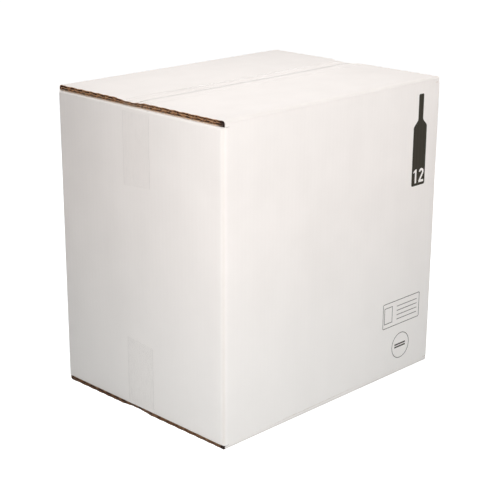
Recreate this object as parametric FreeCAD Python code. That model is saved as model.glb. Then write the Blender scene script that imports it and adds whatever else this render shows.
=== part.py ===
import FreeCAD, Part
import math
import os

# A regular slotted carton for twelve bottles, taped shut, with the slotted dividers inside it.
# Millimetres. +X runs along the long side, +Y away from the printed face, +Z up.
# The origin is the middle of the footprint, on the surface that the box stands on.

# Double-wall board: three liners with a row of flutes between each two of them
LINER = 0.6
OUTER_FLUTE = 2.3
INNER_FLUTE = 2.9
MEDIUM = 0.5
BOARD = 3 * LINER + OUTER_FLUTE + INNER_FLUTE
GAP_DEPTH = 3.0
GAP_PITCH = 7.4
GAP_SPREAD = 0.22

# Carton
OUTSIDE_LENGTH = 396.0
OUTSIDE_WIDTH = 296.0
OUTSIDE_HEIGHT = 400.0
CORNER_RADIUS = 2.5
FLAP_RADIUS = 3.5
FLAP_LIFT = 0.3
SEAM = 1.2
SLOT = 9.0
FLAP_SETBACK = 2.3
INNER_FLAP_REACH = 148.0
INNER_FLAP_SIDE_GAP = 1.5

# Glue lap, inside the back right corner
LAP_WIDTH = 36.0
LAP_TAPER = 12.0
GLUE_LINE = 0.2
LAP_EDGE_SETBACK = 1.0

# Packing tape
TAPE_WIDTH = 48.0
TAPE_THICKNESS = 0.2
TAPE_OFFSET = 1.0
TOP_TAIL_LEFT = 101.0
TOP_TAIL_RIGHT = 96.0
BOTTOM_TAIL_LEFT = 95.0
BOTTOM_TAIL_RIGHT = 99.0
TAIL_SLANT = 3.0
TOOTH_DEPTH = 1.2
TEETH = 16

# Dividers and pads
DIVIDER = 3.0
PAD = 4.0
DIVIDER_END_GAP = 1.0
DIVIDER_SLOT_PLAY = 0.6
CELLS_ALONG = 4
CELLS_ACROSS = 3
HEADROOM = 1.0

# Levels and inside faces that follow from the sizes above
FLOOR = TAPE_THICKNESS
TOP = FLOOR + OUTSIDE_HEIGHT
HALF_LENGTH = OUTSIDE_LENGTH / 2
HALF_WIDTH = OUTSIDE_WIDTH / 2
INSIDE_LENGTH = OUTSIDE_LENGTH - 2 * BOARD
INSIDE_WIDTH = OUTSIDE_WIDTH - 2 * BOARD
INNER_FLOOR = FLOOR + 2 * BOARD + FLAP_LIFT
INNER_TOP = TOP - 2 * BOARD - FLAP_LIFT


def point(x, y, z=0.0):
    return FreeCAD.Vector(x, y, z)


def rounded_face(corners):
    # A flat face in XY. Each corner is (x, y) or (x, y, radius).
    points = [point(c[0], c[1]) for c in corners]
    radii = [c[2] if len(c) > 2 else 0.0 for c in corners]
    count = len(points)
    starts = []
    ends = []
    arcs = []
    for i in range(count):
        here = points[i]
        if radii[i] == 0.0:
            starts.append(here)
            ends.append(here)
            arcs.append(None)
            continue
        back = (points[i - 1] - here).normalize()
        ahead = (points[(i + 1) % count] - here).normalize()
        half = back.getAngle(ahead) / 2
        reach = radii[i] / math.tan(half)
        bisector = (back + ahead).normalize()
        middle = here + bisector * (radii[i] / math.sin(half) - radii[i])
        starts.append(here + back * reach)
        ends.append(here + ahead * reach)
        arcs.append(middle)
    edges = []
    for i in range(count):
        if arcs[i] is not None:
            edges.append(Part.Arc(starts[i], arcs[i], ends[i]).toShape())
        following = starts[(i + 1) % count]
        if ends[i].distanceToPoint(following) > 1e-6:
            edges.append(Part.LineSegment(ends[i], following).toShape())
    return Part.Face(Part.Wire(Part.__sortEdges__(edges)))


def along_x(face, low, high):
    # A face drawn as (y, z), pulled from x = low to x = high.
    turn = FreeCAD.Rotation(point(0, 1, 0), point(0, 0, 1), point(1, 0, 0))
    placed = face.copy()
    placed.Placement = FreeCAD.Placement(point(low, 0), turn)
    return placed.extrude(point(high - low, 0))


def along_y(face, low, high):
    # A face drawn as (x, z), pulled from y = low to y = high.
    turn = FreeCAD.Rotation(point(1, 0, 0), point(0, 0, 1), point(0, -1, 0))
    placed = face.copy()
    placed.Placement = FreeCAD.Placement(point(0, high), turn)
    return placed.extrude(point(0, low - high))


def block(low, high):
    size = [high[i] - low[i] for i in range(3)]
    return Part.makeBox(size[0], size[1], size[2], point(*low))


def mirrored_level(shape):
    # The same shape at the other end of the box's height.
    return shape.mirror(point(0, 0, (FLOOR + TOP) / 2), point(0, 0, 1))


def walls():
    # The four walls and the lap as one bent strip, seen from above.
    lap_face = HALF_WIDTH - BOARD - GLUE_LINE
    lap_end = HALF_LENGTH - BOARD - LAP_WIDTH
    free_edge = HALF_LENGTH - LAP_EDGE_SETBACK
    strip = rounded_face([
        (free_edge, HALF_WIDTH),
        (-HALF_LENGTH, HALF_WIDTH, CORNER_RADIUS),
        (-HALF_LENGTH, -HALF_WIDTH, CORNER_RADIUS),
        (HALF_LENGTH, -HALF_WIDTH, CORNER_RADIUS),
        (HALF_LENGTH, lap_face, CORNER_RADIUS),
        (lap_end, lap_face),
        (lap_end, lap_face - BOARD),
        (HALF_LENGTH - BOARD, lap_face - BOARD),
        (HALF_LENGTH - BOARD, -HALF_WIDTH + BOARD),
        (-HALF_LENGTH + BOARD, -HALF_WIDTH + BOARD),
        (-HALF_LENGTH + BOARD, HALF_WIDTH - BOARD),
        (free_edge, HALF_WIDTH - BOARD),
    ])
    strip.translate(point(0, 0, FLOOR + BOARD))
    return strip.extrude(point(0, 0, OUTSIDE_HEIGHT - 2 * BOARD))


def lap_trim():
    # The lap stops short of the inner flaps, and its ends are cut at a slant.
    lap_end = HALF_LENGTH - BOARD - LAP_WIDTH
    level = INNER_TOP - PAD - 2 * HEADROOM
    trim = rounded_face([
        (lap_end - HEADROOM, level - LAP_TAPER),
        (HALF_LENGTH - BOARD, level),
        (HALF_LENGTH - BOARD, TOP - BOARD),
        (lap_end - HEADROOM, TOP - BOARD),
    ])
    return along_y(trim, HALF_WIDTH - 2 * BOARD - GLUE_LINE, HALF_WIDTH - BOARD - GLUE_LINE)


def slots():
    # The sheet is slotted beside each outer flap, so the flap isn't joined to the end wall.
    cuts = []
    for side in (-1, 1):
        inner = side * (HALF_LENGTH - SLOT)
        outer = side * HALF_LENGTH
        low = (min(inner, outer), -HALF_WIDTH, TOP - BOARD - FLAP_LIFT)
        high = (max(inner, outer), HALF_WIDTH, TOP - BOARD)
        cuts.append(block(low, high))
    return cuts


def end_fold_relief():
    # The end walls' outer edges are rounded where they fold into the inner flaps.
    cuts = []
    level = TOP - BOARD - FLAP_LIFT
    for side in (-1, 1):
        face = side * HALF_LENGTH
        centre = point(face - side * FLAP_RADIUS, level - FLAP_RADIUS)
        round_part = Part.Face(Part.Wire(Part.makeCircle(FLAP_RADIUS, centre)))
        square = rounded_face([
            (face, level),
            (face - side * FLAP_RADIUS, level),
            (face - side * FLAP_RADIUS, level - FLAP_RADIUS),
            (face, level - FLAP_RADIUS),
        ])
        cuts.append(along_y(square.cut(round_part).Faces[0], -HALF_WIDTH, HALF_WIDTH))
    return cuts


def inner_flaps():
    # The minor flaps fold in from the end walls and lie under the outer flaps.
    flaps = []
    half = HALF_WIDTH - BOARD - INNER_FLAP_SIDE_GAP
    level = TOP - BOARD - FLAP_LIFT
    for side in (-1, 1):
        root = side * (HALF_LENGTH - BOARD)
        tip = side * (HALF_LENGTH - INNER_FLAP_REACH)
        flaps.append(block((min(root, tip), -half, level - BOARD), (max(root, tip), half, level)))
    return flaps


def outer_flap(side):
    # A major flap with its fold. It reaches from the long wall to the seam.
    seam = side * SEAM / 2
    wall = side * HALF_WIDTH
    section = rounded_face([
        (wall, TOP - BOARD),
        (wall, TOP, FLAP_RADIUS),
        (seam, TOP),
        (seam, TOP - BOARD),
    ])
    return along_x(section, -HALF_LENGTH + FLAP_SETBACK, HALF_LENGTH - FLAP_SETBACK)


def row_nodes(start, end, phase):
    # Where the fluted medium touches a liner, along a cut edge. The steps are uneven, because the
    # knife runs along the flutes and not square across them.
    nodes = [start]
    step = 0
    while True:
        reach = GAP_PITCH * (1 + GAP_SPREAD * math.sin(1.9 * step + phase))
        if nodes[-1] + reach > end - GAP_PITCH / 2:
            break
        nodes.append(nodes[-1] + reach)
        step += 1
    nodes.append(end)
    return nodes


def flute_gaps(start, end, near, height, phase):
    # The open gaps of one row of flutes on a cut edge, drawn as (place along the edge, depth from
    # the board's outer face). They widen towards the outer and the inner liner by turns.
    nodes = row_nodes(start, end, phase)
    far = near + height
    gaps = []
    for i in range(1, len(nodes) - 1):
        low = nodes[i - 1] + MEDIUM
        high = nodes[i + 1] - MEDIUM
        middle = nodes[i]
        wide, narrow = (near, far - MEDIUM) if i % 2 else (far, near + MEDIUM)
        gaps.append([(low, wide), (high, wide), (middle + MEDIUM, narrow), (middle - MEDIUM, narrow)])
    return gaps


def edge_rows(start, end, phase):
    # Both rows of gaps of the double-wall board along one cut edge.
    inner_near = 2 * LINER + OUTER_FLUTE
    rows = flute_gaps(start, end, LINER, OUTER_FLUTE, phase)
    return rows + flute_gaps(start, end, inner_near, INNER_FLUTE, phase + 1.3)


def fold_gap(side):
    # The outer row's last gap follows the fold down into the wall, drawn as (y, z).
    wall = side * HALF_WIDTH
    near = LINER
    far = LINER + OUTER_FLUTE
    tip = wall - side * (FLAP_RADIUS + MEDIUM)
    return rounded_face([
        (tip, TOP - near),
        (wall - side * near, TOP - near, FLAP_RADIUS - near),
        (wall - side * near, TOP - BOARD + LINER),
        (wall - side * far, TOP - BOARD + LINER),
        (wall - side * far, TOP - far),
        (tip, TOP - far),
    ])


def flap_edge_gaps(side):
    # The gaps in both ends of an outer flap.
    end = HALF_WIDTH - FLAP_RADIUS - 2 * MEDIUM
    cuts = []
    for end_side in (-1, 1):
        face = end_side * (HALF_LENGTH - FLAP_SETBACK)
        deep = face - end_side * GAP_DEPTH
        sections = [fold_gap(side)]
        for gap in edge_rows(SEAM / 2 + LINER, end, side + 2 * end_side):
            sections.append(rounded_face([(side * s, TOP - depth) for s, depth in gap]))
        cuts += [along_x(section, min(face, deep), max(face, deep)) for section in sections]
    return cuts


def joint_edge_gaps():
    # The gaps in the back wall's free edge, beside the glue lap.
    face = HALF_LENGTH - LAP_EDGE_SETBACK
    low = FLOOR + BOARD + FLAP_LIFT + LINER
    high = TOP - BOARD - FLAP_LIFT - LINER
    cuts = []
    for gap in edge_rows(low, high, 0.0):
        section = rounded_face([(HALF_WIDTH - depth, s) for s, depth in gap])
        cuts.append(along_x(section, face - GAP_DEPTH, face))
    return cuts


def carton():
    upper_cuts = slots() + end_fold_relief() + [lap_trim()]
    shell = walls().cut(upper_cuts + [mirrored_level(cut) for cut in upper_cuts])
    upper_flaps = [outer_flap(-1), outer_flap(1)] + inner_flaps()
    sheet = shell.fuse(upper_flaps + [mirrored_level(flap) for flap in upper_flaps])
    upper_gaps = flap_edge_gaps(-1) + flap_edge_gaps(1)
    gaps = upper_gaps + [mirrored_level(gap) for gap in upper_gaps] + joint_edge_gaps()
    return sheet.removeSplitter().cut(gaps)


def torn_end(end_side, tail):
    # What the dispenser's saw blade takes off a tail: a slanted line of small teeth.
    low = TAPE_OFFSET - TAPE_WIDTH / 2
    pitch = TAPE_WIDTH / TEETH
    line = []
    for i in range(2 * TEETH + 1):
        drop = TAIL_SLANT * i / (2 * TEETH)
        tooth = TOOTH_DEPTH if i % 2 else 0.0
        line.append((low + pitch * i / 2, TOP - tail - drop - tooth))
    waste = TOP - tail - TAIL_SLANT - 2 * TOOTH_DEPTH - pitch
    comb = rounded_face(line + [(low + TAPE_WIDTH, waste), (low, waste)])
    face = end_side * (HALF_LENGTH + TAPE_THICKNESS / 2)
    return along_x(comb, face - TAPE_THICKNESS, face + TAPE_THICKNESS)


def tape(left_tail, right_tail):
    # A strip over the top seam, turned down over both ends.
    skin = TAPE_THICKNESS
    outer_left = -HALF_LENGTH - skin
    outer_right = HALF_LENGTH + skin
    spare = TAIL_SLANT + TOOTH_DEPTH
    strip = rounded_face([
        (outer_left, TOP - left_tail - spare),
        (-HALF_LENGTH, TOP - left_tail - spare),
        (-HALF_LENGTH, TOP),
        (HALF_LENGTH, TOP),
        (HALF_LENGTH, TOP - right_tail - spare),
        (outer_right, TOP - right_tail - spare),
        (outer_right, TOP + skin),
        (outer_left, TOP + skin),
    ])
    band = along_y(strip, TAPE_OFFSET - TAPE_WIDTH / 2, TAPE_OFFSET + TAPE_WIDTH / 2)
    return band.cut([torn_end(-1, left_tail), torn_end(1, right_tail)])


def pad(level):
    half_length = INSIDE_LENGTH / 2 - DIVIDER_END_GAP
    half_width = INSIDE_WIDTH / 2 - DIVIDER_END_GAP
    return block((-half_length, -half_width, level), (half_length, half_width, level + PAD))


DIVIDER_LOW = INNER_FLOOR + PAD
DIVIDER_HIGH = INNER_TOP - PAD - HEADROOM
DIVIDER_MIDDLE = (DIVIDER_LOW + DIVIDER_HIGH) / 2
CELL_LENGTH = INSIDE_LENGTH / CELLS_ALONG
CELL_WIDTH = INSIDE_WIDTH / CELLS_ACROSS
CROSS_PLACES = [CELL_LENGTH * i - INSIDE_LENGTH / 2 for i in range(1, CELLS_ALONG)]
LONG_PLACES = [CELL_WIDTH * i - INSIDE_WIDTH / 2 for i in range(1, CELLS_ACROSS)]
HALF_SLOT = (DIVIDER + DIVIDER_SLOT_PLAY) / 2


def long_divider(y):
    # It takes the cross dividers in slots cut down from its upper edge.
    half = INSIDE_LENGTH / 2 - DIVIDER_END_GAP
    sheet = block((-half, y - DIVIDER / 2, DIVIDER_LOW), (half, y + DIVIDER / 2, DIVIDER_HIGH))
    cuts = [block((x - HALF_SLOT, y - DIVIDER, DIVIDER_MIDDLE), (x + HALF_SLOT, y + DIVIDER, TOP))
            for x in CROSS_PLACES]
    return sheet.cut(cuts)


def cross_divider(x):
    # It sits over the long dividers with slots cut up from its lower edge.
    half = INSIDE_WIDTH / 2 - DIVIDER_END_GAP
    sheet = block((x - DIVIDER / 2, -half, DIVIDER_LOW), (x + DIVIDER / 2, half, DIVIDER_HIGH))
    cuts = [block((x - DIVIDER, y - HALF_SLOT, FLOOR), (x + DIVIDER, y + HALF_SLOT, DIVIDER_MIDDLE))
            for y in LONG_PLACES]
    return sheet.cut(cuts)


def save(name, shape):
    shape.exportStep(os.path.join("parts", name + ".step"))


os.makedirs("parts", exist_ok=True)
save("carton", carton())
save("top_tape", tape(TOP_TAIL_LEFT, TOP_TAIL_RIGHT))
save("bottom_tape", mirrored_level(tape(BOTTOM_TAIL_LEFT, BOTTOM_TAIL_RIGHT)))
save("bottom_pad", pad(INNER_FLOOR))
save("top_pad", pad(DIVIDER_HIGH))
for index, place in enumerate(LONG_PLACES, 1):
    save("long_divider_%d" % index, long_divider(place))
for index, place in enumerate(CROSS_PLACES, 1):
    save("cross_divider_%d" % index, cross_divider(place))
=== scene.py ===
import bmesh
import bpy
import math
from mathutils import Matrix, Vector


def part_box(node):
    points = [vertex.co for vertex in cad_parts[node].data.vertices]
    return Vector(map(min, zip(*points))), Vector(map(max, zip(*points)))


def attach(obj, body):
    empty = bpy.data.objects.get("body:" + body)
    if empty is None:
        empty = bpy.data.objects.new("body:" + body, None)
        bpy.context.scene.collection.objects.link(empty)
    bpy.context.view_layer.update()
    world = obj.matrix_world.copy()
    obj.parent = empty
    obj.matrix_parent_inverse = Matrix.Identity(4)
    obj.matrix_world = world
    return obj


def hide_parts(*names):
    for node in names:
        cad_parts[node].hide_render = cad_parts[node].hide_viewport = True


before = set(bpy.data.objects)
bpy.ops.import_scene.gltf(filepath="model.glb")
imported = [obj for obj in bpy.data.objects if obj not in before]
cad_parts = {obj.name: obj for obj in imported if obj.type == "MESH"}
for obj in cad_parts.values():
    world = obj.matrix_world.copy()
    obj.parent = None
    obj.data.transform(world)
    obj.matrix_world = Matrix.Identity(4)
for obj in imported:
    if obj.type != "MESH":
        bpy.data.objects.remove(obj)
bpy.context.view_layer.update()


# Camera
# A long lens that looks down at the near vertical corner, from the photograph's side.
FRAME_PIXELS = 500
LENS_PIXELS = 1293.7
SENSOR_WIDTH = 36.0
CAMERA_DISTANCE = 1.7123
CAMERA_AZIMUTH = math.radians(-45.50)
CAMERA_ELEVATION = math.radians(18.16)
CAMERA_ROLL = math.radians(0.34)
CAMERA_SIDESTEP = -0.0034
CAMERA_LIFT = -0.02739
AIM_HEIGHT = 0.201

away = Vector((math.sin(CAMERA_AZIMUTH) * math.cos(CAMERA_ELEVATION),
               -math.cos(CAMERA_AZIMUTH) * math.cos(CAMERA_ELEVATION),
               math.sin(CAMERA_ELEVATION)))
level_right = (-away).cross(Vector((0, 0, 1))).normalized()
level_up = level_right.cross(-away)
view_right = math.cos(CAMERA_ROLL) * level_right + math.sin(CAMERA_ROLL) * level_up
view_up = math.cos(CAMERA_ROLL) * level_up - math.sin(CAMERA_ROLL) * level_right
eye = Vector((0, 0, AIM_HEIGHT)) + CAMERA_SIDESTEP * view_right + CAMERA_LIFT * view_up
eye += CAMERA_DISTANCE * away
camera_data = bpy.data.cameras.new("camera")
camera_data.sensor_width = SENSOR_WIDTH
camera_data.lens = SENSOR_WIDTH * LENS_PIXELS / FRAME_PIXELS
camera = bpy.data.objects.new("camera", camera_data)
turn = Matrix((view_right, view_up, away)).transposed().to_4x4()
camera.matrix_world = Matrix.Translation(eye) @ turn
bpy.context.scene.collection.objects.link(camera)
bpy.context.scene.camera = camera
bpy.context.scene.view_settings.view_transform = "Standard"


# Floor and backdrop
# A pale sweep under the box and a white backdrop behind it. Where the camera, gloss or clear film
# sees them, they are as white as paper. Only the lamps light the box. The floor keeps its shadow.
FLOOR_REACH = 14.0
FLOOR_GREY = "D0D0D0"
FLOOR_ROUGHNESS = 0.9
FLOOR_GLOW = 0.99
PAPER_WHITE = "FFFFFF"


class Socket:
    """One output of a node. The usual operators add the Math nodes."""

    def __init__(self, finish, link):
        self.finish = finish
        self.link = link

    def math(self, operation, *values):
        return self.finish.node("Math", {"operation": operation}, values)["Value"]

    def __add__(self, other):
        return self.math("ADD", self, other)

    def __radd__(self, other):
        return self.math("ADD", other, self)

    def __sub__(self, other):
        return self.math("SUBTRACT", self, other)

    def __rsub__(self, other):
        return self.math("SUBTRACT", other, self)

    def __mul__(self, other):
        return self.math("MULTIPLY", self, other)

    def __rmul__(self, other):
        return self.math("MULTIPLY", other, self)

    def __truediv__(self, other):
        return self.math("DIVIDE", self, other)

    def __rtruediv__(self, other):
        return self.math("DIVIDE", other, self)

    def sin(self):
        return self.math("SINE", self)

    def absolute(self):
        return self.math("ABSOLUTE", self)

    def most(self, other):
        return self.math("MAXIMUM", self, other)

    def rise(self, low, high):
        """0 below low, 1 above high, and smooth between them."""
        settings = {"interpolation_type": "SMOOTHSTEP"}
        return self.finish.node("MapRange", settings, [self, low, high, 0.0, 1.0])["Result"]


class Finish:
    """A material, or the world, while its nodes are being put together."""

    def __init__(self, owner):
        self.owner = owner
        owner.use_nodes = True
        self.tree = owner.node_tree
        self.tree.nodes.clear()

    def node(self, kind, settings=None, inputs=()):
        """A new node's outputs by name. A shader node's kind is written without its first word."""
        made = self.tree.nodes.new(kind if "Node" in kind else "ShaderNode" + kind)
        for key, value in (settings or {}).items():
            setattr(made, key, value)
        named = inputs.items() if isinstance(inputs, dict) else enumerate(inputs)
        for key, value in named:
            if isinstance(value, Socket):
                self.tree.links.new(value.link, made.inputs[key])
            elif value is not None:
                made.inputs[key].default_value = value
        return {output.name: Socket(self, output) for output in made.outputs if output.enabled}

    def mix(self, factor, first, second):
        """A colour between two colours."""
        values = {0: factor, 6: first, 7: second}
        return self.node("Mix", {"data_type": "RGBA"}, values)["Result"]

    def place(self):
        """The point of the object, in metres."""
        return self.node("TexCoord")["Object"]

    def axes(self, vector):
        return self.node("SeparateXYZ", None, [vector])

    def noise(self, vector, scale, detail=2.0, roughness=0.5):
        values = {"Vector": vector, "Scale": scale, "Detail": detail, "Roughness": roughness}
        return self.node("TexNoise", None, values)["Fac"]

    def stretched(self, vector, scale):
        return self.node("VectorMath", {"operation": "MULTIPLY"}, [vector, scale])["Vector"]

    def bump(self, height, distance, strength=1.0, under=None):
        values = {"Height": height, "Distance": distance, "Strength": strength, "Normal": under}
        return self.node("Bump", None, values)["Normal"]

    def principled(self, values):
        return self.node("BsdfPrincipled", None, values)["BSDF"]

    def seen_directly(self):
        """1 for rays from the camera, and for what gloss or clear film shows."""
        path = self.node("LightPath")
        return path["Is Camera Ray"].most(path["Is Glossy Ray"]).most(path["Is Transmission Ray"])

    def surface(self, shader):
        self.node("OutputMaterial", None, {"Surface": shader})
        return self.owner


def material(name):
    """A new material, to be finished."""
    return Finish(bpy.data.materials.new(name))


def colour(code):
    """A linear colour from the six hex digits of a screen colour."""
    parts = [int(code[i:i + 2], 16) / 255 for i in (0, 2, 4)]
    linear = [p / 12.92 if p <= 0.04045 else ((p + 0.055) / 1.055) ** 2.4 for p in parts]
    return (*linear, 1.0)


def added(name, data):
    """A new object in the scene."""
    made = bpy.data.objects.new(name, data)
    bpy.context.scene.collection.objects.link(made)
    return made


def floor_finish():
    """A matt pale grey, which glows white for the rays that see it directly."""
    finish = material("sweep")
    matt = {"Base Color": colour(FLOOR_GREY), "Roughness": FLOOR_ROUGHNESS}
    glow = {"Emission Color": colour(PAPER_WHITE), "Emission Strength": FLOOR_GLOW}
    shaders = [finish.seen_directly(), finish.principled(matt), finish.principled({**matt, **glow})]
    return finish.surface(finish.node("MixShader", None, shaders)["Shader"])


floor_mesh = bpy.data.meshes.new("sweep")
edge = FLOOR_REACH / 2
floor_mesh.from_pydata([(-edge, -edge, 0), (edge, -edge, 0), (edge, edge, 0), (-edge, edge, 0)],
                       [], [(0, 1, 2, 3)])
floor_mesh.materials.append(floor_finish())
floor = added("sweep", floor_mesh)

world = bpy.data.worlds.new("studio")
bpy.context.scene.world = world
air = Finish(world)
backdrop = {"Color": colour(PAPER_WHITE), "Strength": air.seen_directly()}
air.node("OutputWorld", None, {"Surface": air.node("Background", None, backdrop)["Background"]})


# Studio lights
# The key is a large soft panel that looks at the near corner, and one like it stands behind the box.
# Six small panels stand closer round it.
PANEL_SIZE = 0.35
PANEL_DISTANCE = 0.8
KEY_SIZE = 0.7
KEY_DISTANCE = 1.3


def panel(name, azimuth, elevation, power, size=PANEL_SIZE, distance=PANEL_DISTANCE):
    """A round panel that faces the middle of the box from a direction in degrees."""
    data = bpy.data.lights.new(name, "AREA")
    data.shape = "DISK"
    data.size = size
    data.energy = power
    around = math.radians(azimuth)
    up = math.radians(elevation)
    towards = Vector((math.sin(around) * math.cos(up),
                      -math.cos(around) * math.cos(up),
                      math.sin(up)))
    place = Vector((0, 0, AIM_HEIGHT)) + distance * towards
    facing = towards.to_track_quat("Z", "Y").to_matrix().to_4x4()
    added(name, data).matrix_world = Matrix.Translation(place) @ facing


panel("key", -45, 12, 7.52, KEY_SIZE, KEY_DISTANCE)
panel("low_left", -65, 12, 1.15)
panel("high_left", -65, 64, 1.66)
panel("low_front", 15, 12, 0.84)
panel("mid_front", 15, 38, 1.16)
panel("high_right", 80, 64, 1.36)
panel("high_back", -165, 64, 1.26)
panel("soft_back", 135, 6, 5.0, KEY_SIZE, KEY_DISTANCE)


# Carton sheet
# One sheet of white-faced double-wall corrugated board: three liners with two fluted mediums glued
# between them. It is slotted, creased and folded into a tube, its lap is glued inside the back right
# corner, and its flaps are folded in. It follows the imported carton, with a hair of room for the ink.
INK_ROOM = 0.0001
carton_low, carton_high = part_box("carton")
LEFT = carton_low.x + INK_ROOM
RIGHT = carton_high.x - INK_ROOM
FRONT = carton_low.y + INK_ROOM
BACK = carton_high.y - INK_ROOM
TOP = carton_high.z
BOTTOM = carton_low.z
LINER = 0.0006
OUTER_FLUTE = 0.0023
INNER_FLUTE = 0.0029
BOARD = 3 * LINER + OUTER_FLUTE + INNER_FLUTE
FLUTE_PITCH = 0.0065
CHANNEL_DEPTH = 0.004
CORNER_RADIUS = 0.0025
NEAR_CORNER_RADIUS = 0.0055
FLAP_RADIUS = 0.0035
ARC_STEPS = 10
FLAP_LIFT = 0.0003
SEAM = 0.0008
SLOT = 0.009
FLAP_SETBACK = 0.0022
INNER_FLAP_REACH = 0.148
INNER_FLAP_SIDE_GAP = 0.0015
LAP_WIDTH = 0.036
LAP_TAPER = 0.012
LAP_HEADROOM = 0.006
GLUE_LINE = 0.0002
LAP_EDGE_SETBACK = 0.001
MESH_STEP = 0.012
FLAP_STEP = 0.004
FOLD_MARGIN = 0.0012
POINTS_MEET = 1e-7
CREASE_ANGLE = math.radians(30)
CREASE_REACH = 0.005
# How much painted shade the folds at the front get, as shares of a darker colour.
NEAR_FOLD_SHADE = 0.88
TOP_FOLD_SHADE = 0.4
BOTTOM_FOLD_SHADE = 0.48
WASHBOARD_DEPTH = 0.000015
FIBRE_DEPTH = 0.00004
COOLNESS = 0.5
COOL_BELOW = 0.32
# Painted shade on the brown papers, near the floor and in the open ends of the near folds.
BOTTOM_SHADE = 0.42
BOTTOM_SHADE_REACH = 0.016
NEAR_END_SHADE = 1.5
NEAR_END_SHADE_LENGTH = 0.02
NEAR_END_SHADE_REACH = 0.016
STRAND_DEPTH = 0.00015
DRAWN_IN = 0.0002
HOLLOW = 0.0001
TOP_DIP = 0.0008
FLATTENING = 0.0017
CRUSH = 0.0026
OPEN_FOLD = 0.009
OPEN_FOLD_LIFT = 0.5
PINCH = 0.0023
PINCH_MIDDLE = 0.013
PINCH_HALF_WIDTH = 0.025
PINCH_REACH = 0.03
RIPPLE = 0.0005
RIPPLE_LENGTH = 0.0158
RIPPLE_REACH = 0.007
RIPPLE_WANDER = 2.0
WANDER_RATE = 31


def close_to(coordinate, face, reach):
    """1 at a face of the box, falling to 0 at a distance from it."""
    return 1 - (coordinate - face).absolute().rise(0.0, reach)


def liner_finish():
    """The white-coated outer liner, with the flutes showing faintly through it. Its coat is cooler
    towards the floor. Along the near vertical fold and the front's top and bottom folds it has
    painted shade, which tones down their highlights."""
    finish = material("white_liner")
    place = finish.place()
    axes = finish.axes(place)
    # Painted shade along the near vertical fold and the front's top and bottom folds, which tones down
    # the highlights that the lamps put on them.
    front = close_to(axes["Y"], FRONT, CREASE_REACH)
    near_fold = close_to(axes["X"], LEFT, CREASE_REACH) * NEAR_FOLD_SHADE
    top_fold = close_to(axes["Z"], TOP, CREASE_REACH) * TOP_FOLD_SHADE
    bottom_fold = close_to(axes["Z"], BOTTOM, CREASE_REACH) * BOTTOM_FOLD_SHADE
    crease = front * (near_fold + top_fold + bottom_fold)
    cool = (1 - axes["Z"].rise(0.0, COOL_BELOW)) * COOLNESS
    along = finish.node("UVMap", {"uv_map": "flutes"})["UV"]
    drift = finish.noise(place, scale=9.0) * 0.9
    wave = (finish.axes(along)["X"] * (2 * math.pi / FLUTE_PITCH) + drift).sin()
    unevenness = finish.noise(finish.stretched(place, (1.0, 1.0, 0.25)), scale=38.0, detail=3.0)
    clouds = finish.noise(place, scale=14.0, detail=3.0)
    fibres = finish.noise(place, scale=900.0, detail=4.0, roughness=0.65)
    washboard = wave * (0.35 + unevenness * 0.65)
    tone = clouds * 0.5 + unevenness * 0.25 + fibres * 0.25
    base = finish.mix(tone.rise(0.25, 0.75), colour("EEE8E4"), colour("F5EFEB"))
    base = finish.mix((washboard * 0.5 + 0.5) * 0.06, base, colour("DCD5CF"))
    base = finish.mix(cool, base, colour("EDEEEC"))
    base = finish.mix(crease, base, colour("C9C2BB"))
    coarse = finish.bump(washboard, WASHBOARD_DEPTH)
    fine = finish.bump(fibres, FIBRE_DEPTH, strength=0.25, under=coarse)
    return finish.surface(finish.principled({"Base Color": base, "Roughness": 0.62 + fibres * 0.12,
                                             "Specular IOR Level": 0.15, "Normal": fine}))


def kraft_finish(name, light, dark, streak):
    """Brown paper, with its fibres drawn out along one direction. It has painted shade near the floor
    and in the open ends of the near folds, and a painted highlight on the top flaps' lowest liner."""
    finish = material(name)
    place = finish.place()
    axes = finish.axes(place)
    # Painted shade: darker near the floor.
    bottom_shade = close_to(axes["Z"], BOTTOM, BOTTOM_SHADE_REACH) * BOTTOM_SHADE
    # Painted shade in the open ends of the near folds, by the near corner.
    near_end_shade = close_to(axes["X"], LEFT, NEAR_END_SHADE_LENGTH) * close_to(axes["Y"], FRONT, NEAR_END_SHADE_REACH)
    # Painted highlight: the top flaps' lowest liner is paler.
    liner_highlight = close_to(axes["Z"], TOP - BOARD + LINER / 2, 1.5 * LINER)
    strands = finish.noise(finish.stretched(place, streak), scale=700.0, detail=5.0, roughness=0.7)
    patches = finish.noise(place, scale=160.0, detail=3.0)
    tone = (strands * 0.6 + patches * 0.4).rise(0.3, 0.7)
    base = finish.mix(tone, colour(dark), colour(light))
    base = finish.mix(liner_highlight * 0.8, base, colour("E8D3BD"))
    base = finish.mix(bottom_shade.most(near_end_shade * NEAR_END_SHADE), base, colour("2F1E15"))
    return finish.surface(finish.principled({
        "Base Color": base, "Roughness": 0.85, "Normal": finish.bump(strands, STRAND_DEPTH, 0.6)}))


# The last finish, on the insides of the open channels, is painted shade: it is coloured nearly black.
BOARD_FINISHES = [liner_finish(),
                  kraft_finish("cut_edge", "CBA27E", "936846", (1.0, 0.4, 1.0)),
                  kraft_finish("brown_liner", "B08C66", "A07C58", (1.0, 1.0, 0.3)),
                  kraft_finish("flute_in_painted_shade", "4A2614", "261208", (1.0, 0.4, 1.0))]
OUTSIDE, EDGE, INSIDE, DEEP = range(4)


def upside_down(z):
    """The level at the bottom of the box that answers to a level at its top."""
    return TOP + BOTTOM - z


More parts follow.
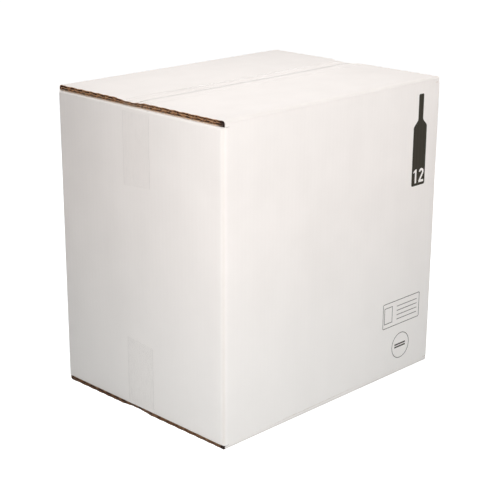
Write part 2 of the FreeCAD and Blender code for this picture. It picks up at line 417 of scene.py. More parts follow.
def settle(point):
    """Where a point of the box goes. Its walls are a little hollow, and its top is drawn in by the
    folds and dips at the seam. The tapes pinch the flaps' ends, whose liners ripple over the flutes.
    The board is crushed under the near end, where the box has stood, less so at the open fold."""
    x, y, z = point
    across = x / RIGHT
    deep = y / BACK
    high = (2 * z - TOP - BOTTOM) / (TOP - BOTTOM)
    gather = DRAWN_IN * ((high + 1) / 2) ** 2
    hollow = HOLLOW * max(0.0, 1 - high ** 2)
    end_lean = gather * across + hollow * max(0.0, 1 - deep ** 2) * across ** 3
    side_lean = gather * deep + hollow * max(0.0, 1 - across ** 2) * deep ** 3
    dip = TOP_DIP * max(0.0, 1 - abs(deep)) ** 1.5 * max(0.0, 1 - across ** 4) * max(0.0, high) ** 6
    crush = (FLATTENING + CRUSH * max(0.0, -deep)) * max(0.0, (1 - across) / 2) ** 3
    crush *= min(1.0, max(0.0, (z - BOTTOM) / BOARD))
    crush *= min(1.0, (TOP - z) / (TOP - BOTTOM - BOARD))
    crush *= 1 - OPEN_FOLD_LIFT * max(0.0, 1 - (y - FRONT) / OPEN_FOLD)
    pinch = PINCH * max(0.0, 1 - ((y - PINCH_MIDDLE) / PINCH_HALF_WIDTH) ** 2)
    pinch *= max(0.0, 1 - (RIGHT - abs(x)) / PINCH_REACH) ** 2
    if abs(y) < BACK - BOARD:
        cut_edge = min(1.0, max(0.0, 1 - (RIGHT - FLAP_SETBACK - abs(x)) / RIPPLE_REACH))
        wander = RIPPLE_WANDER * math.sin(WANDER_RATE * y + across)
        pinch += RIPPLE * cut_edge * (0.5 + 0.5 * math.sin(2 * math.pi * y / RIPPLE_LENGTH + wander))
    in_top_flaps = min(1.0, max(0.0, 1 - (TOP - z) / BOARD))
    in_bottom_flaps = min(1.0, max(0.0, 1 - (z - BOTTOM) / BOARD))
    pinch *= in_top_flaps - in_bottom_flaps
    return Vector((x - end_lean, y - side_lean, z - dip - crush - pinch))


def steps(start, end, size=MESH_STEP):
    """Evenly spaced places between start and end, with neither of them."""
    count = max(1, round(abs(end - start) / size))
    return [start + (end - start) * i / count for i in range(1, count)]


def straight(start, end, size=MESH_STEP):
    """Points of a straight run after its start, closer at its ends so that folds stay crisp."""
    length = (end - start).length
    inner = steps(FOLD_MARGIN, length - FOLD_MARGIN, size)
    places = [FOLD_MARGIN] + inner + [length - FOLD_MARGIN, length]
    if length < 4 * FOLD_MARGIN:
        places = [length]
    return [start.lerp(end, place / length) for place in places]


def bent_line(corners, size=MESH_STEP):
    """Points of a flat line. Each corner is (x, y) or (x, y, radius)."""
    points = [Vector(corners[0][:2])]
    for i in range(1, len(corners) - 1):
        corner = Vector(corners[i][:2])
        radius = corners[i][2] if len(corners[i]) > 2 else 0.0
        back = (Vector(corners[i - 1][:2]) - corner).normalized()
        ahead = (Vector(corners[i + 1][:2]) - corner).normalized()
        points += straight(points[-1], corner + back * radius, size)
        centre = corner + (back + ahead) * radius
        for k in range(1, ARC_STEPS + 1 if radius else 1):
            angle = math.pi / 2 * k / ARC_STEPS
            spoke = ahead * radius * math.cos(angle) + back * radius * math.sin(angle)
            points.append(centre - spoke)
    return points + straight(points[-1], Vector(corners[-1][:2]), size)


def comb(face, into):
    """The cut edge from the inside of the board to its outside, as (place, depth): the liners end
    at face, and the open channels between them reach to into."""
    depths = [BOARD, BOARD - LINER, BOARD - LINER, 2 * LINER + OUTER_FLUTE, 2 * LINER + OUTER_FLUTE,
              LINER + OUTER_FLUTE, LINER + OUTER_FLUTE, LINER, LINER, 0.0]
    places = [face, face, into, into, face, face, into, into, face, face]
    slots = [EDGE, DEEP, DEEP, DEEP, EDGE, DEEP, DEEP, DEEP, EDGE]
    return list(zip(places, depths)), slots


def swept_solid(name, rings, slots, flutes):
    """A closed solid through rings of points. Every ring has the same edges with the same finishes,
    and flutes holds each point's place across and along the flutes."""
    mesh = bpy.data.meshes.new(name)
    count = len(rings[0])
    last = (len(rings) - 1) * count
    faces = []
    for here in range(0, last, count):
        beyond = here + count
        for i in range(count):
            after = (i + 1) % count
            faces.append((here + i, here + after, beyond + after, beyond + i))
    faces.append(tuple(reversed(range(count))))
    faces.append(tuple(range(last, last + count)))
    mesh.from_pydata([point for ring in rings for point in ring], [], faces)
    for finish in BOARD_FINISHES:
        mesh.materials.append(finish)
    mesh.polygons.foreach_set("material_index", slots * (len(rings) - 1) + [EDGE, EDGE])
    layer = mesh.uv_layers.new(name="flutes")
    for loop in mesh.loops:
        layer.data[loop.index].uv = flutes[loop.vertex_index]
    tidy_mesh(mesh)
    return added(name, mesh)


def tidy_mesh(mesh):
    """Points that lie on each other become one, and all faces look outwards."""
    work = bmesh.new()
    work.from_mesh(mesh)
    bmesh.ops.remove_doubles(work, verts=work.verts, dist=POINTS_MEET)
    bmesh.ops.recalc_face_normals(work, faces=work.faces)
    work.to_mesh(mesh)
    work.free()


def walls():
    """The four walls and the glue lap, as one bent strip seen from above."""
    lap_face = BACK - BOARD - GLUE_LINE
    lap_end = RIGHT - BOARD - LAP_WIDTH
    free_edge = RIGHT - LAP_EDGE_SETBACK
    outer = bent_line([(free_edge, BACK), (LEFT, BACK, CORNER_RADIUS),
                       (LEFT, FRONT, NEAR_CORNER_RADIUS), (RIGHT, FRONT, CORNER_RADIUS),
                       (RIGHT, lap_face, CORNER_RADIUS), (lap_end, lap_face)])
    inner = bent_line([(lap_end, lap_face - BOARD), (RIGHT - BOARD, lap_face - BOARD),
                       (RIGHT - BOARD, FRONT + BOARD), (LEFT + BOARD, FRONT + BOARD),
                       (LEFT + BOARD, BACK - BOARD), (free_edge, BACK - BOARD)])
    edge, edge_slots = comb(free_edge, free_edge - CHANNEL_DEPTH)
    edge = [(place, BACK - depth) for place, depth in edge[1:-1]]
    outline = [tuple(p) for p in outer + inner] + edge
    slots = [OUTSIDE] * (len(outer) - 1) + [EDGE] + [INSIDE] * (len(inner) - 1) + edge_slots
    distance = [0.0]
    for before, after in zip(outline, outline[1:]):
        distance.append(distance[-1] + math.dist(before, after))
    low = upside_down(TOP - BOARD)
    levels = [p.y for p in straight(Vector((0, low)), Vector((0, TOP - BOARD)))]
    levels = [low] + levels[:-1] + [TOP - BOARD]
    rings = [[(x, y, z) for x, y in outline] for z in levels]
    flutes = [(place, z) for z in levels for place in distance]
    return swept_solid("carton_sheet", rings, slots, flutes)


def outer_flap(side, turned):
    """A major flap and its fold, swept from the seam down to the slots' level."""
    wall = side * BACK
    pivot = (wall - side * BOARD, TOP - BOARD)
    corners = [(side * SEAM / 2, TOP), (wall, TOP, FLAP_RADIUS), (wall, TOP - BOARD)]
    outer = bent_line(corners, FLAP_STEP)
    left, left_slots = comb(LEFT + FLAP_SETBACK, LEFT + FLAP_SETBACK + CHANNEL_DEPTH)
    right, right_slots = comb(RIGHT - FLAP_SETBACK, RIGHT - FLAP_SETBACK - CHANNEL_DEPTH)
    across = steps(LEFT + FLAP_SETBACK, RIGHT - FLAP_SETBACK)
    spans = len(across) + 1
    section = left + [(x, 0.0) for x in across] + right[::-1] + [(x, BOARD) for x in reversed(across)]
    slots = left_slots + [OUTSIDE] * spans + right_slots[::-1] + [INSIDE] * spans
    rings = []
    flutes = []
    travelled = 0.0
    for index, (y, z) in enumerate(outer):
        beyond = side * (y - pivot[0]) > 0
        under = Vector(pivot) if beyond else Vector((y, TOP - BOARD))
        if index:
            travelled += (outer[index] - outer[index - 1]).length
        ring = []
        for x, depth in section:
            place = Vector((y, z)).lerp(under, depth / BOARD)
            level = upside_down(place.y) if turned else place.y
            ring.append((x, place.x, level))
            flutes.append((x, travelled))
        rings.append(ring)
    return swept_solid("flap", rings, slots, flutes)


def prism(name, outline, low, high, slots):
    """A straight solid along Y from an outline in X and Z, with a finish for each of its sides."""
    rings = [[(x, y, z) for x, z in outline] for y in (low, high)]
    flutes = [(y, z) for y in (low, high) for x, z in outline]
    return swept_solid(name, rings, slots, flutes)


def inner_flap(side, turned):
    """A minor flap, folded in from an end wall under the major flaps."""
    root = side * (RIGHT - BOARD / 2)
    tip = side * (RIGHT - INNER_FLAP_REACH)
    upper = TOP - BOARD - FLAP_LIFT
    levels = [upside_down(z) if turned else z for z in (upper, upper - BOARD)]
    half = BACK - BOARD - INNER_FLAP_SIDE_GAP
    outline = [(root, levels[0]), (root, levels[1]), (tip, levels[1]), (tip, levels[0])]
    return prism("inner_flap", outline, -half, half, [EDGE, INSIDE, EDGE, OUTSIDE])


def end_trim(side, turned):
    """What the slot and the fold of an end wall take off it."""
    level = TOP - BOARD - FLAP_LIFT
    face = side * RIGHT
    spare = side * FLAP_RADIUS
    outline = [(side * (RIGHT - SLOT), level), (face - spare, level)]
    for k in range(1, ARC_STEPS + 1):
        angle = math.pi / 2 * k / ARC_STEPS
        outline.append((face - spare + spare * math.sin(angle),
                        level - FLAP_RADIUS + FLAP_RADIUS * math.cos(angle)))
    outline += [(face + spare, level - FLAP_RADIUS), (face + spare, TOP),
                (side * (RIGHT - SLOT), TOP)]
    if turned:
        outline = [(x, upside_down(z)) for x, z in outline]
    slots = [EDGE] + [OUTSIDE] * ARC_STEPS + [EDGE] * 4
    return prism("end_trim", outline, 2 * FRONT, 2 * BACK, slots)


def lap_trim(turned):
    """What the slanted cut takes off an end of the glue lap."""
    lap_end = RIGHT - BOARD - LAP_WIDTH - GLUE_LINE
    level = TOP - 2 * BOARD - FLAP_LIFT - LAP_HEADROOM
    clear = TOP - 1.5 * BOARD
    corner = RIGHT - BOARD + 2 * GLUE_LINE
    outline = [(lap_end, level - LAP_TAPER), (corner, level), (corner, clear), (lap_end, clear)]
    if turned:
        outline = [(x, upside_down(z)) for x, z in outline]
    low = BACK - 2 * BOARD - 2 * GLUE_LINE
    return prism("lap_trim", outline, low, BACK - BOARD - GLUE_LINE / 2, [EDGE] * 4)


def joined(pieces):
    """Several pieces as one object."""
    work = bmesh.new()
    for piece in pieces:
        work.from_mesh(piece.data)
    first = pieces[0]
    work.to_mesh(first.data)
    work.free()
    for piece in pieces[1:]:
        bpy.data.objects.remove(piece)
    return first


def cut_or_merged(base, other, operation):
    """The base with the other solid taken off or added."""
    modifier = base.modifiers.new("combine", "BOOLEAN")
    modifier.operation = operation
    modifier.solver = "EXACT"
    modifier.object = other
    graph = bpy.context.evaluated_depsgraph_get()
    mesh = bpy.data.meshes.new_from_object(base.evaluated_get(graph))
    base.modifiers.clear()
    base.data = mesh
    bpy.data.objects.remove(other)
    return base


def settled(piece):
    """The piece moved with the box it is part of, and shaded with crisp cut edges."""
    for vertex in piece.data.vertices:
        vertex.co = settle(vertex.co)
    piece.data.shade_smooth()
    piece.data.set_sharp_from_angle(angle=CREASE_ANGLE)
    return piece


end_trims = [end_trim(side, turned) for side in (-1, 1) for turned in (False, True)]
lap_trims = [lap_trim(turned) for turned in (False, True)]
carton = cut_or_merged(walls(), joined(end_trims), "DIFFERENCE")
carton = cut_or_merged(carton, joined(lap_trims), "DIFFERENCE")
flaps = [inner_flap(side, turned) for side in (-1, 1) for turned in (False, True)]
flaps += [outer_flap(side, turned) for side in (-1, 1) for turned in (False, True)]
carton = settled(cut_or_merged(carton, joined(flaps), "UNION"))
carton.name = "carton_sheet"
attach(carton, "root")
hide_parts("carton")


# Fluted mediums
# Corrugated brown paper, glued between the liners. It shows in the open channels of every edge that
# is cut along the flutes, where the knife crossed the waves at a slight slant and drew them out.
MEDIUM = 0.00042
OUTER_WAVE = 0.0148
INNER_WAVE = 0.0162
WAVE_WANDER = 2.6
WANDER_SCALE = 45.0
OUTER_SEED = 3
INNER_SEED = 8
RIBBON_STEP = 0.0009
CREST = 0.2
TROUGH = 0.8
RIBBON_RECESS = 0.00015
OPEN_END = 0.0085
OUTER_ROW = LINER + OUTER_FLUTE / 2
INNER_ROW = 2 * LINER + OUTER_FLUTE + INNER_FLUTE / 2

FLUTED_PAPER = kraft_finish("fluted_paper", "C8976C", "8A5835", (0.5, 1.0, 1.0))


class Recipe(Finish):
    """A Geometry Nodes tree while its nodes are being put together."""

    def __init__(self, name, sizes):
        self.tree = bpy.data.node_groups.new(name, "GeometryNodeTree")
        sockets = self.tree.interface
        sockets.new_socket("Geometry", in_out="OUTPUT", socket_type="NodeSocketGeometry")
        sockets.new_socket("Geometry", in_out="INPUT", socket_type="NodeSocketGeometry")
        self.keys = {}
        for size in sizes:
            kind = "NodeSocketInt" if size == "Seed" else "NodeSocketFloat"
            self.keys[size] = sockets.new_socket(size, in_out="INPUT", socket_type=kind).identifier
        self.given = self.node("NodeGroupInput")

    def finish_with(self, geometry, finish):
        whole = self.node("GeometryNodeRealizeInstances", None, [geometry])["Geometry"]
        values = {"Geometry": whole, "Material": finish}
        painted = self.node("GeometryNodeSetMaterial", None, values)["Geometry"]
        self.node("NodeGroupOutput", None, {"Geometry": painted})

    def made_from(self, source, values):
        """The source object's geometry after this tree, as a plain mesh."""
        modifier = source.modifiers.new("recipe", "NODES")
        modifier.node_group = self.tree
        for name, value in values.items():
            modifier[self.keys[name]] = value
        graph = bpy.context.evaluated_depsgraph_get()
        mesh = bpy.data.meshes.new_from_object(source.evaluated_get(graph))
        source.modifiers.clear()
        return mesh


def medium_recipe():
    """A wavy ribbon along each given line. The wave hugs the liners, and wanders in length."""
    recipe = Recipe("fluted_medium", ["Wave", "Height", "Width", "Thickness", "Step", "Wander", "Seed"])
    given = recipe.given
    across = (1.0, 0.0, 0.0)
    line = recipe.node("GeometryNodeMeshToCurve", None, [given["Geometry"]])["Curve"]
    line = recipe.node("GeometryNodeResampleCurve", {"mode": "LENGTH"},
                       {"Curve": line, "Length": given["Step"]})["Curve"]
    line = recipe.node("GeometryNodeSetCurveNormal", {"mode": "FREE"},
                       {"Curve": line, "Normal": across})["Curve"]
    travelled = recipe.node("GeometryNodeSplineParameter")["Length"]
    place = recipe.node("GeometryNodeInputPosition")["Position"]
    values = {"Vector": place, "W": given["Seed"], "Scale": WANDER_SCALE, "Detail": 1.0}
    noise = recipe.node("TexNoise", {"noise_dimensions": "4D"}, values)["Fac"]
    angle = travelled / given["Wave"] * (2 * math.pi) + noise * given["Wander"]
    hug = (angle * 0.5).sin().absolute().rise(CREST, TROUGH)
    reach = (hug * 2 - 1) * (given["Height"] - given["Thickness"]) * -0.5
    tangent = recipe.node("GeometryNodeInputTangent")["Tangent"]
    outwards = recipe.node("VectorMath", {"operation": "CROSS_PRODUCT"}, [tangent, across])["Vector"]
    offset = recipe.node("VectorMath", {"operation": "SCALE"}, {0: outwards, "Scale": reach})["Vector"]
    line = recipe.node("GeometryNodeSetPosition", None,
                       {"Geometry": line, "Offset": offset})["Geometry"]
    section = recipe.node("GeometryNodeCurvePrimitiveQuadrilateral", {"mode": "RECTANGLE"},
                          {"Width": given["Width"], "Height": given["Thickness"]})["Curve"]
    ribbon = recipe.node("GeometryNodeCurveToMesh", None,
                         {"Curve": line, "Profile Curve": section, "Fill Caps": True})["Mesh"]
    recipe.finish_with(ribbon, FLUTED_PAPER)
    return recipe


def row_lines(depth):
    """The middle lines of one row of flutes: along both ends of each major flap, short of its fold,
    which has torn the fluted paper loose, and up the free edge at the glued joint."""
    lines = []
    inset = CHANNEL_DEPTH / 2 + RIBBON_RECESS
    for side, turned in ((-1, False), (1, False), (-1, True), (1, True)):
        start = side * (SEAM / 2 + RIBBON_RECESS)
        end = side * (BACK - OPEN_END)
        level = upside_down(TOP - depth) if turned else TOP - depth
        for x in (LEFT + FLAP_SETBACK + inset, RIGHT - FLAP_SETBACK - inset):
            lines.append([(x, y, level) for y in [start] + steps(start, end) + [end]])
    x = RIGHT - LAP_EDGE_SETBACK - inset
    high = TOP - BOARD
    low = upside_down(high)
    lines.append([(x, BACK - depth, z) for z in [high] + steps(high, low) + [low]])
    return lines


def medium_row(name, depth, recipe, values):
    """One row's ribbons, from the lines that they follow."""
    points = []
    edges = []
    for line in row_lines(depth):
        edges += [(len(points) + i, len(points) + i + 1) for i in range(len(line) - 1)]
        points += line
    mesh = bpy.data.meshes.new(name)
    mesh.from_pydata(points, edges, [])
    lines = added(name, mesh)
    lines.data = recipe.made_from(lines, values)
    return lines


ribbon = {"Width": CHANNEL_DEPTH - 2 * RIBBON_RECESS, "Thickness": MEDIUM, "Step": RIBBON_STEP,
          "Wander": WAVE_WANDER}
recipe = medium_recipe()
rows = [medium_row("outer_medium", OUTER_ROW, recipe,
                   {**ribbon, "Wave": OUTER_WAVE, "Height": OUTER_FLUTE, "Seed": OUTER_SEED}),
        medium_row("inner_medium", INNER_ROW, recipe,
                   {**ribbon, "Wave": INNER_WAVE, "Height": INNER_FLUTE, "Seed": INNER_SEED})]
medium = joined(rows)
tidy_mesh(medium.data)
settled(medium)
medium.name = "fluted_medium"
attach(medium, "root")


# Packing tapes
# Two strips of clear film, one over the top seam and one under the bottom seam. Each is turned down
# over both ends, pressed on by hand with small wrinkles at the edge, and torn off on a saw blade.
TAPE_WIDTH = 0.048
TAPE_MIDDLE = 0.001
FILM = 0.00006
FILM_GAP = 0.00003
TAPE_BEND = 0.0009
PRESS_HEIGHT = 0.0135
PRESS_STEPS = 10
PRESS_CURVE = 0.8
PUCKER = 0.00025
PUCKER_RATES = (1.9, 0.7)
TOP_TAILS = (0.101, 0.096)
BOTTOM_TAILS = (0.095, 0.099)
TAIL_SLANT = 0.003
TOOTH_DEPTH = 0.0012
TEETH = 16
TAIL_STEPS = 26
BEND_STEPS = 6
SEAM_SHARE = 0.479
FAR_EDGE_SHARE = 0.91
# Reaches of the film's painted shade, over and along the top seam and along its far edge.
BRIDGE_REACH = (0.014, 0.04)
SEAM_SHADE_REACH = (0.02, 0.22)
FAR_EDGE_SHADE_REACH = (0.02, 0.18)
TOP_SHARE = (0.132, 0.14)
SHADE_FADES = (0.06, 0.13)
FILM_OPACITY = 0.012
FILM_IOR = 1.5
RIPPLE_DEPTH = 0.0004


def beside(coordinate, middle, reach):
    """1 close to a middle, falling to 0 over the two distances from it in reach."""
    return 1 - (coordinate - middle).absolute().rise(*reach)


def film_finish():
    """Clear glossy film on its glue: hardly darker than the board, but for its cut edges. Along the far
    edge and the seam of the top it is greyer with painted shade, and where it bridges the seam it
    is nearly opaque, in a pale grey of painted shade."""
    finish = material("clear_film")
    place = finish.place()
    film = finish.axes(finish.node("UVMap", {"uv_map": "film"})["UV"])
    along = film["X"]
    across = film["Y"]
    rim = (across - 0.5).absolute().rise(0.46, 0.5)
    bridge = beside(across, SEAM_SHARE, BRIDGE_REACH)
    on_top = beside(along, 0.5, TOP_SHARE)
    # Painted shade along the seam and the far edge of the top, summed in air: the film is greyer and
    # less clear there.
    seam_shade = beside(across, SEAM_SHARE, SEAM_SHADE_REACH) * 0.6
    far_edge_shade = beside(across, FAR_EDGE_SHARE, FAR_EDGE_SHADE_REACH)
    far_half_shade = across.rise(0.45, 0.5) * 0.3
    air = (seam_shade.most(far_edge_shade) + far_half_shade) * beside(along, 0.5, SHADE_FADES)
    streaks = finish.noise(finish.stretched(place, (4.0, 40.0, 4.0)), scale=14.0, detail=3.0)
    bubbles = finish.noise(place, scale=240.0, detail=3.0)
    ripples = finish.noise(finish.stretched(place, (1.0, 0.25, 1.0)), scale=110.0)
    alpha = FILM_OPACITY + rim * 0.03 + air * 0.065
    alpha += streaks.rise(0.45, 0.75) * 0.02 + bubbles.rise(0.5, 0.7) * 0.01
    # Over the top seam the film is nearly opaque, in a pale grey of painted shade.
    alpha = alpha.most(bridge * on_top * 0.97)
    base = finish.mix(rim.most(air), colour("DAD3CC"), colour("B4ADA6"))
    base = finish.mix(bridge * on_top, base, colour("E6E1DD"))
    roughness = 0.16 + streaks * 0.12 + bridge * 0.6
    return finish.surface(finish.principled({
        "Base Color": base, "Roughness": roughness, "IOR": FILM_IOR, "Alpha": alpha,
        "Normal": finish.bump(ripples, RIPPLE_DEPTH, strength=0.25)}))


CLEAR_FILM = film_finish()


def tape_line(tails, column):
    """The film's line in X and Z at one of its columns, from its left end to its right end. It runs
    up the end wall, is pressed in against the flap's set-back edge, and turns over the top."""
    slant = TAIL_SLANT * column / (2 * TEETH) + (TOOTH_DEPTH if column % 2 else 0.0)
    level = TOP + FILM_GAP
    wall = RIGHT + FILM_GAP
    bend = RIGHT - FLAP_SETBACK + FILM_GAP - TAPE_BEND
    press_low = TOP - PRESS_HEIGHT
    press_high = level - TAPE_BEND
    halves = []
    for side, tail in ((-1, tails[0]), (1, tails[1])):
        low = TOP - tail - slant
        half = [(side * wall, low + (press_low - low) * k / TAIL_STEPS) for k in range(TAIL_STEPS)]
        folds = math.sin(PUCKER_RATES[0] * column + side) * math.sin(PUCKER_RATES[1] * column)
        for k in range(PRESS_STEPS):
            t = k / PRESS_STEPS
            inwards = FLAP_SETBACK * (t * t * (3 - 2 * t)) ** PRESS_CURVE
            pucker = PUCKER * math.sin(math.pi * t) * (folds - 1)
            half.append((side * (wall - inwards + pucker), press_low + (press_high - press_low) * t))
        for k in range(BEND_STEPS + 1):
            angle = math.pi / 2 * k / BEND_STEPS
            half.append((side * (bend + TAPE_BEND * math.cos(angle)),
                         press_high + TAPE_BEND * math.sin(angle)))
        halves.append(half)
    left, right = halves
    across = [(x, level) for x in steps(left[-1][0], right[-1][0])]
    return left + across + right[::-1]


def tape(name, tails, turned):
    """A closed strip of film, with its torn ends, laid on the settled box."""
    columns = 2 * TEETH + 1
    points = []
    film = []
    for skin in (FILM, 0.0):
        for column in range(columns):
            y = TAPE_MIDDLE + TAPE_WIDTH * (column / (columns - 1) - 0.5)
            line = tape_line(tails, column)
            for index, (x, z) in enumerate(line):
                before = line[max(0, index - 1)]
                after = line[min(len(line) - 1, index + 1)]
                out = Vector((before[1] - after[1], after[0] - before[0])).normalized()
                place = (x + out.x * skin, z + out.y * skin)
                points.append(settle((place[0], y, upside_down(place[1]) if turned else place[1])))
                film.append((index / len(line), column / (columns - 1)))
    count = len(points) // (2 * columns)
    under = columns * count
    faces = []
    for column in range(columns - 1):
        for i in range(count - 1):
            low = column * count + i
            face = (low, low + 1, low + count + 1, low + count)
            faces.append(face)
            faces.append(tuple(under + corner for corner in (face[0], face[3], face[2], face[1])))
    rim = list(range(count)) + [column * count + count - 1 for column in range(1, columns)]
    rim += [(columns - 1) * count + i for i in range(count - 2, -1, -1)]
    rim += [column * count for column in range(columns - 2, 0, -1)]
    faces += [(a, b, under + b, under + a) for a, b in zip(rim, rim[1:] + rim[:1])]
    mesh = bpy.data.meshes.new(name)
    mesh.from_pydata(points, [], faces)
    mesh.materials.append(CLEAR_FILM)
    layer = mesh.uv_layers.new(name="film")
    for loop in mesh.loops:
        layer.data[loop.index].uv = film[loop.vertex_index]
    tidy_mesh(mesh)
    mesh.shade_smooth()
    mesh.set_sharp_from_angle(angle=CREASE_ANGLE)
    piece = added(name + "_film", mesh)
    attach(piece, "root")
    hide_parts(name)


tape("top_tape", TOP_TAILS, False)
tape("bottom_tape", BOTTOM_TAILS, True)


# Print
# Flexographic ink on the front: a bottle with the count of twelve knocked out of its foot, and lower
# down a ruled field to write in with a box to tick, over a plain ring with two bars. It is a thin
# closed skin on the liner.
INK = 0.00003
INK_SINK = 0.00002
MOTTLE_DEPTH = 0.00002
PRINT_STEP = 0.009
BOTTLE_MIDDLE = 0.1593
BOTTLE_FOOT = 0.26
SHOULDER_FOOT = 0.338
SHOULDER_TOP = 0.3495
BOTTLE_TOP = 0.382
BODY_HALF = 0.0139
NECK_HALF = 0.0051
FOOT_RADIUS = 0.0025
FOOT_STEPS = 5
SHOULDER_STEPS = 8
LIP = 0.0012
FIGURE_FOOT = 0.2637
FIGURE_HEIGHT = 0.0187
FIGURE_STROKE = 0.0032
ONE_LEFT = -0.0102
ONE_FLAG = 0.0032
ONE_TIP = 0.0006
ONE_FLAG_DROPS = (0.0026, 0.0052, 0.0033)
TWO_LEFT = 0.001
TWO_WIDTH = 0.0103
TWO_BOW = range(-40, 171, 15)
LINE_INK = 0.0009
ROUND_STEPS = 6
FIELD_MIDDLE = (0.1358, 0.0898)
FIELD_HALVES = (0.0388, 0.0178)
FIELD_RADIUS = 0.002
TICK_MIDDLE = (0.1085, 0.0898)
TICK_HALVES = (0.0085, 0.0115)
RULES = 4
RULE_MIDDLE = (0.1475, 0.0988)
RULE_PITCH = 0.0062
RULE_HALF = 0.0215
RING_MIDDLE = (0.1367, 0.0402)
RING_HALVES = (0.0185, 0.0185)
RING_RADIUS = 0.0184
BAR_PLACES = ((0.1357, 0.039), (0.1357, 0.0426))
BAR_HALVES = (0.0115, 0.0011)


def ink_finish():
    """Dark brown-black water-based ink, thinner where a flute's valley took less of it."""
    finish = material("print_ink")
    place = finish.place()
    valleys = (finish.axes(place)["X"] * (2 * math.pi / FLUTE_PITCH)).sin() * 0.5 + 0.5
    mottle = finish.noise(place, scale=520.0, detail=4.0, roughness=0.7)
    base = finish.mix(mottle * 0.5 + valleys * 0.2, colour("2E2A23"), colour("3E3A31"))
    return finish.surface(finish.principled({"Base Color": base, "Roughness": 0.7 + mottle * 0.15,
                                             "Specular IOR Level": 0.15,
                                             "Normal": finish.bump(mottle, MOTTLE_DEPTH, 0.3)}))


PRINT_INK = ink_finish()


def ring_of(middle, halves, radius=0.0):
    """A rectangle's outline, with corners that may be round."""
    points = []
    for quarter, (u, v) in enumerate(((1, 1), (-1, 1), (-1, -1), (1, -1))):
        x = middle[0] + u * (halves[0] - radius)
        z = middle[1] + v * (halves[1] - radius)
        for k in range(ROUND_STEPS + 1 if radius else 1):
            angle = math.pi / 2 * (quarter + k / ROUND_STEPS)
            points.append((x + radius * math.cos(angle), z + radius * math.sin(angle)))
    return points


def bottle_outline():
    """Half the bottle's outline from the foot to the mouth, and its mirror image."""
    half = []
    for k in range(FOOT_STEPS + 1):
        angle = math.pi / 2 * k / FOOT_STEPS
        half.append((BODY_HALF - FOOT_RADIUS + FOOT_RADIUS * math.sin(angle),
                     BOTTLE_FOOT + FOOT_RADIUS - FOOT_RADIUS * math.cos(angle)))
    for k in range(SHOULDER_STEPS + 1):
        t = k / SHOULDER_STEPS
        ease = t * t * (3 - 2 * t)
        half.append((BODY_HALF + (NECK_HALF - BODY_HALF) * ease,
                     SHOULDER_FOOT + (SHOULDER_TOP - SHOULDER_FOOT) * t))
    half += [(NECK_HALF, BOTTLE_TOP - LIP), (NECK_HALF - LIP, BOTTLE_TOP)]
    right = [(BOTTLE_MIDDLE + x, z) for x, z in half]
    return right + [(BOTTLE_MIDDLE - x, z) for x, z in reversed(half)]


def figure_one():
    """The outline of a plain 1."""
    left = BOTTLE_MIDDLE + ONE_LEFT
    stem = left + ONE_FLAG
    top = FIGURE_FOOT + FIGURE_HEIGHT
    upper, lower, root = ONE_FLAG_DROPS
    return [(stem, FIGURE_FOOT), (stem + FIGURE_STROKE, FIGURE_FOOT), (stem + FIGURE_STROKE, top),
            (stem + ONE_TIP, top), (left, top - upper), (left, top - lower), (stem, top - root)]


def figure_two():
    """The outline of a plain 2."""
    left = BOTTLE_MIDDLE + TWO_LEFT
    foot = FIGURE_FOOT
    right = left + TWO_WIDTH
    radius = TWO_WIDTH / 2
    centre = Vector((left + radius, foot + FIGURE_HEIGHT - radius))
    bow = [math.radians(angle) for angle in TWO_BOW]
    outer = [centre + radius * Vector((math.cos(a), math.sin(a))) for a in bow]
    inner = [centre + (radius - FIGURE_STROKE) * Vector((math.cos(a), math.sin(a))) for a in bow]
    base = [(left, foot), (right, foot), (right, foot + FIGURE_STROKE),
            (left + 1.3 * FIGURE_STROKE, foot + FIGURE_STROKE)]
    points = base + [tuple(p) for p in outer] + [tuple(p) for p in reversed(inner)]
    return points + [(left, foot + 0.9 * FIGURE_STROKE)]


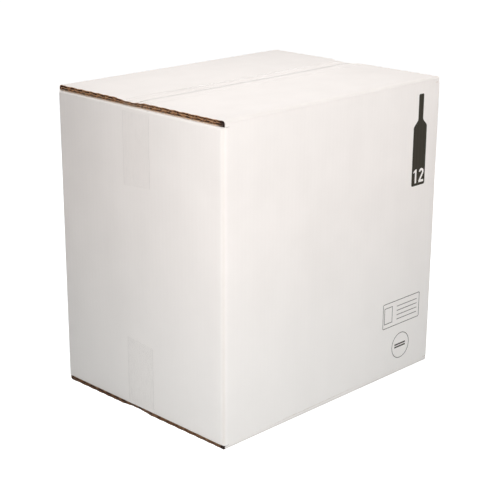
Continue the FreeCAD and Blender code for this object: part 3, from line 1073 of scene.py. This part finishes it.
def printed(name, outlines):
    """Ink inside the outlines, which are holes where they lie in another, as a closed thin skin."""
    data = bpy.data.curves.new(name, "CURVE")
    data.dimensions = "2D"
    data.fill_mode = "BOTH"
    data.extrude = INK / 2
    for outline in outlines:
        spline = data.splines.new("POLY")
        spline.points.add(len(outline) - 1)
        for point, place in zip(spline.points, outline):
            point.co = (*place, 0.0, 1.0)
        spline.use_cyclic_u = True
    drawn = added(name, data)
    graph = bpy.context.evaluated_depsgraph_get()
    mesh = bpy.data.meshes.new_from_object(drawn.evaluated_get(graph))
    bpy.data.objects.remove(drawn)
    work = bmesh.new()
    work.from_mesh(mesh)
    bmesh.ops.remove_doubles(work, verts=work.verts, dist=POINTS_MEET)
    low = [min(vertex.co[axis] for vertex in work.verts) for axis in (0, 1)]
    high = [max(vertex.co[axis] for vertex in work.verts) for axis in (0, 1)]
    for axis in (0, 1):
        for place in steps(low[axis], high[axis], PRINT_STEP):
            at = Vector((0.0, 0.0, 0.0))
            at[axis] = place
            facing = Vector((0.0, 0.0, 0.0))
            facing[axis] = 1.0
            everything = work.verts[:] + work.edges[:] + work.faces[:]
            bmesh.ops.bisect_plane(work, geom=everything, plane_co=at, plane_no=facing)
    for vertex in work.verts:
        x, z, out = vertex.co
        vertex.co = settle(Vector((x, FRONT + INK_SINK - INK / 2 - out, z)))
    bmesh.ops.recalc_face_normals(work, faces=work.faces)
    work.to_mesh(mesh)
    work.free()
    mesh.materials.clear()
    mesh.materials.append(PRINT_INK)
    return added(name, mesh)


def frame_line(middle, halves, radius=0.0):
    """An outlined box, as its outer and inner outlines."""
    inside = [half - LINE_INK for half in halves]
    return [ring_of(middle, halves, radius), ring_of(middle, inside, max(0.0, radius - LINE_INK))]


bottle = printed("bottle_mark", [bottle_outline(), figure_one(), figure_two()])
field = frame_line(FIELD_MIDDLE, FIELD_HALVES, FIELD_RADIUS) + frame_line(TICK_MIDDLE, TICK_HALVES)
for row in range(RULES):
    middle = (RULE_MIDDLE[0], RULE_MIDDLE[1] - RULE_PITCH * row)
    field.append(ring_of(middle, (RULE_HALF, LINE_INK / 2)))
field += frame_line(RING_MIDDLE, RING_HALVES, RING_RADIUS)
field += [ring_of(middle, BAR_HALVES) for middle in BAR_PLACES]
write_on = printed("write_on_field", field)
for piece in (bottle, write_on):
    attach(piece, "root")


# Dividers and pads
# Plain brown sheets of single-wall board inside the closed box. Five of them are slotted to half
# their height and pushed into each other, and stand between two flat pads. They are the packed
# solids, in a brown board's finish.
DIVIDER_BOARD = kraft_finish("divider_board", "B18F69", "9C7852", (1.0, 1.0, 0.25))
for name in ("bottom_pad", "top_pad", "long_divider_1", "long_divider_2",
             "cross_divider_1", "cross_divider_2", "cross_divider_3"):
    piece = bpy.data.objects[name]
    piece.data.materials.clear()
    piece.data.materials.append(DIVIDER_BOARD)
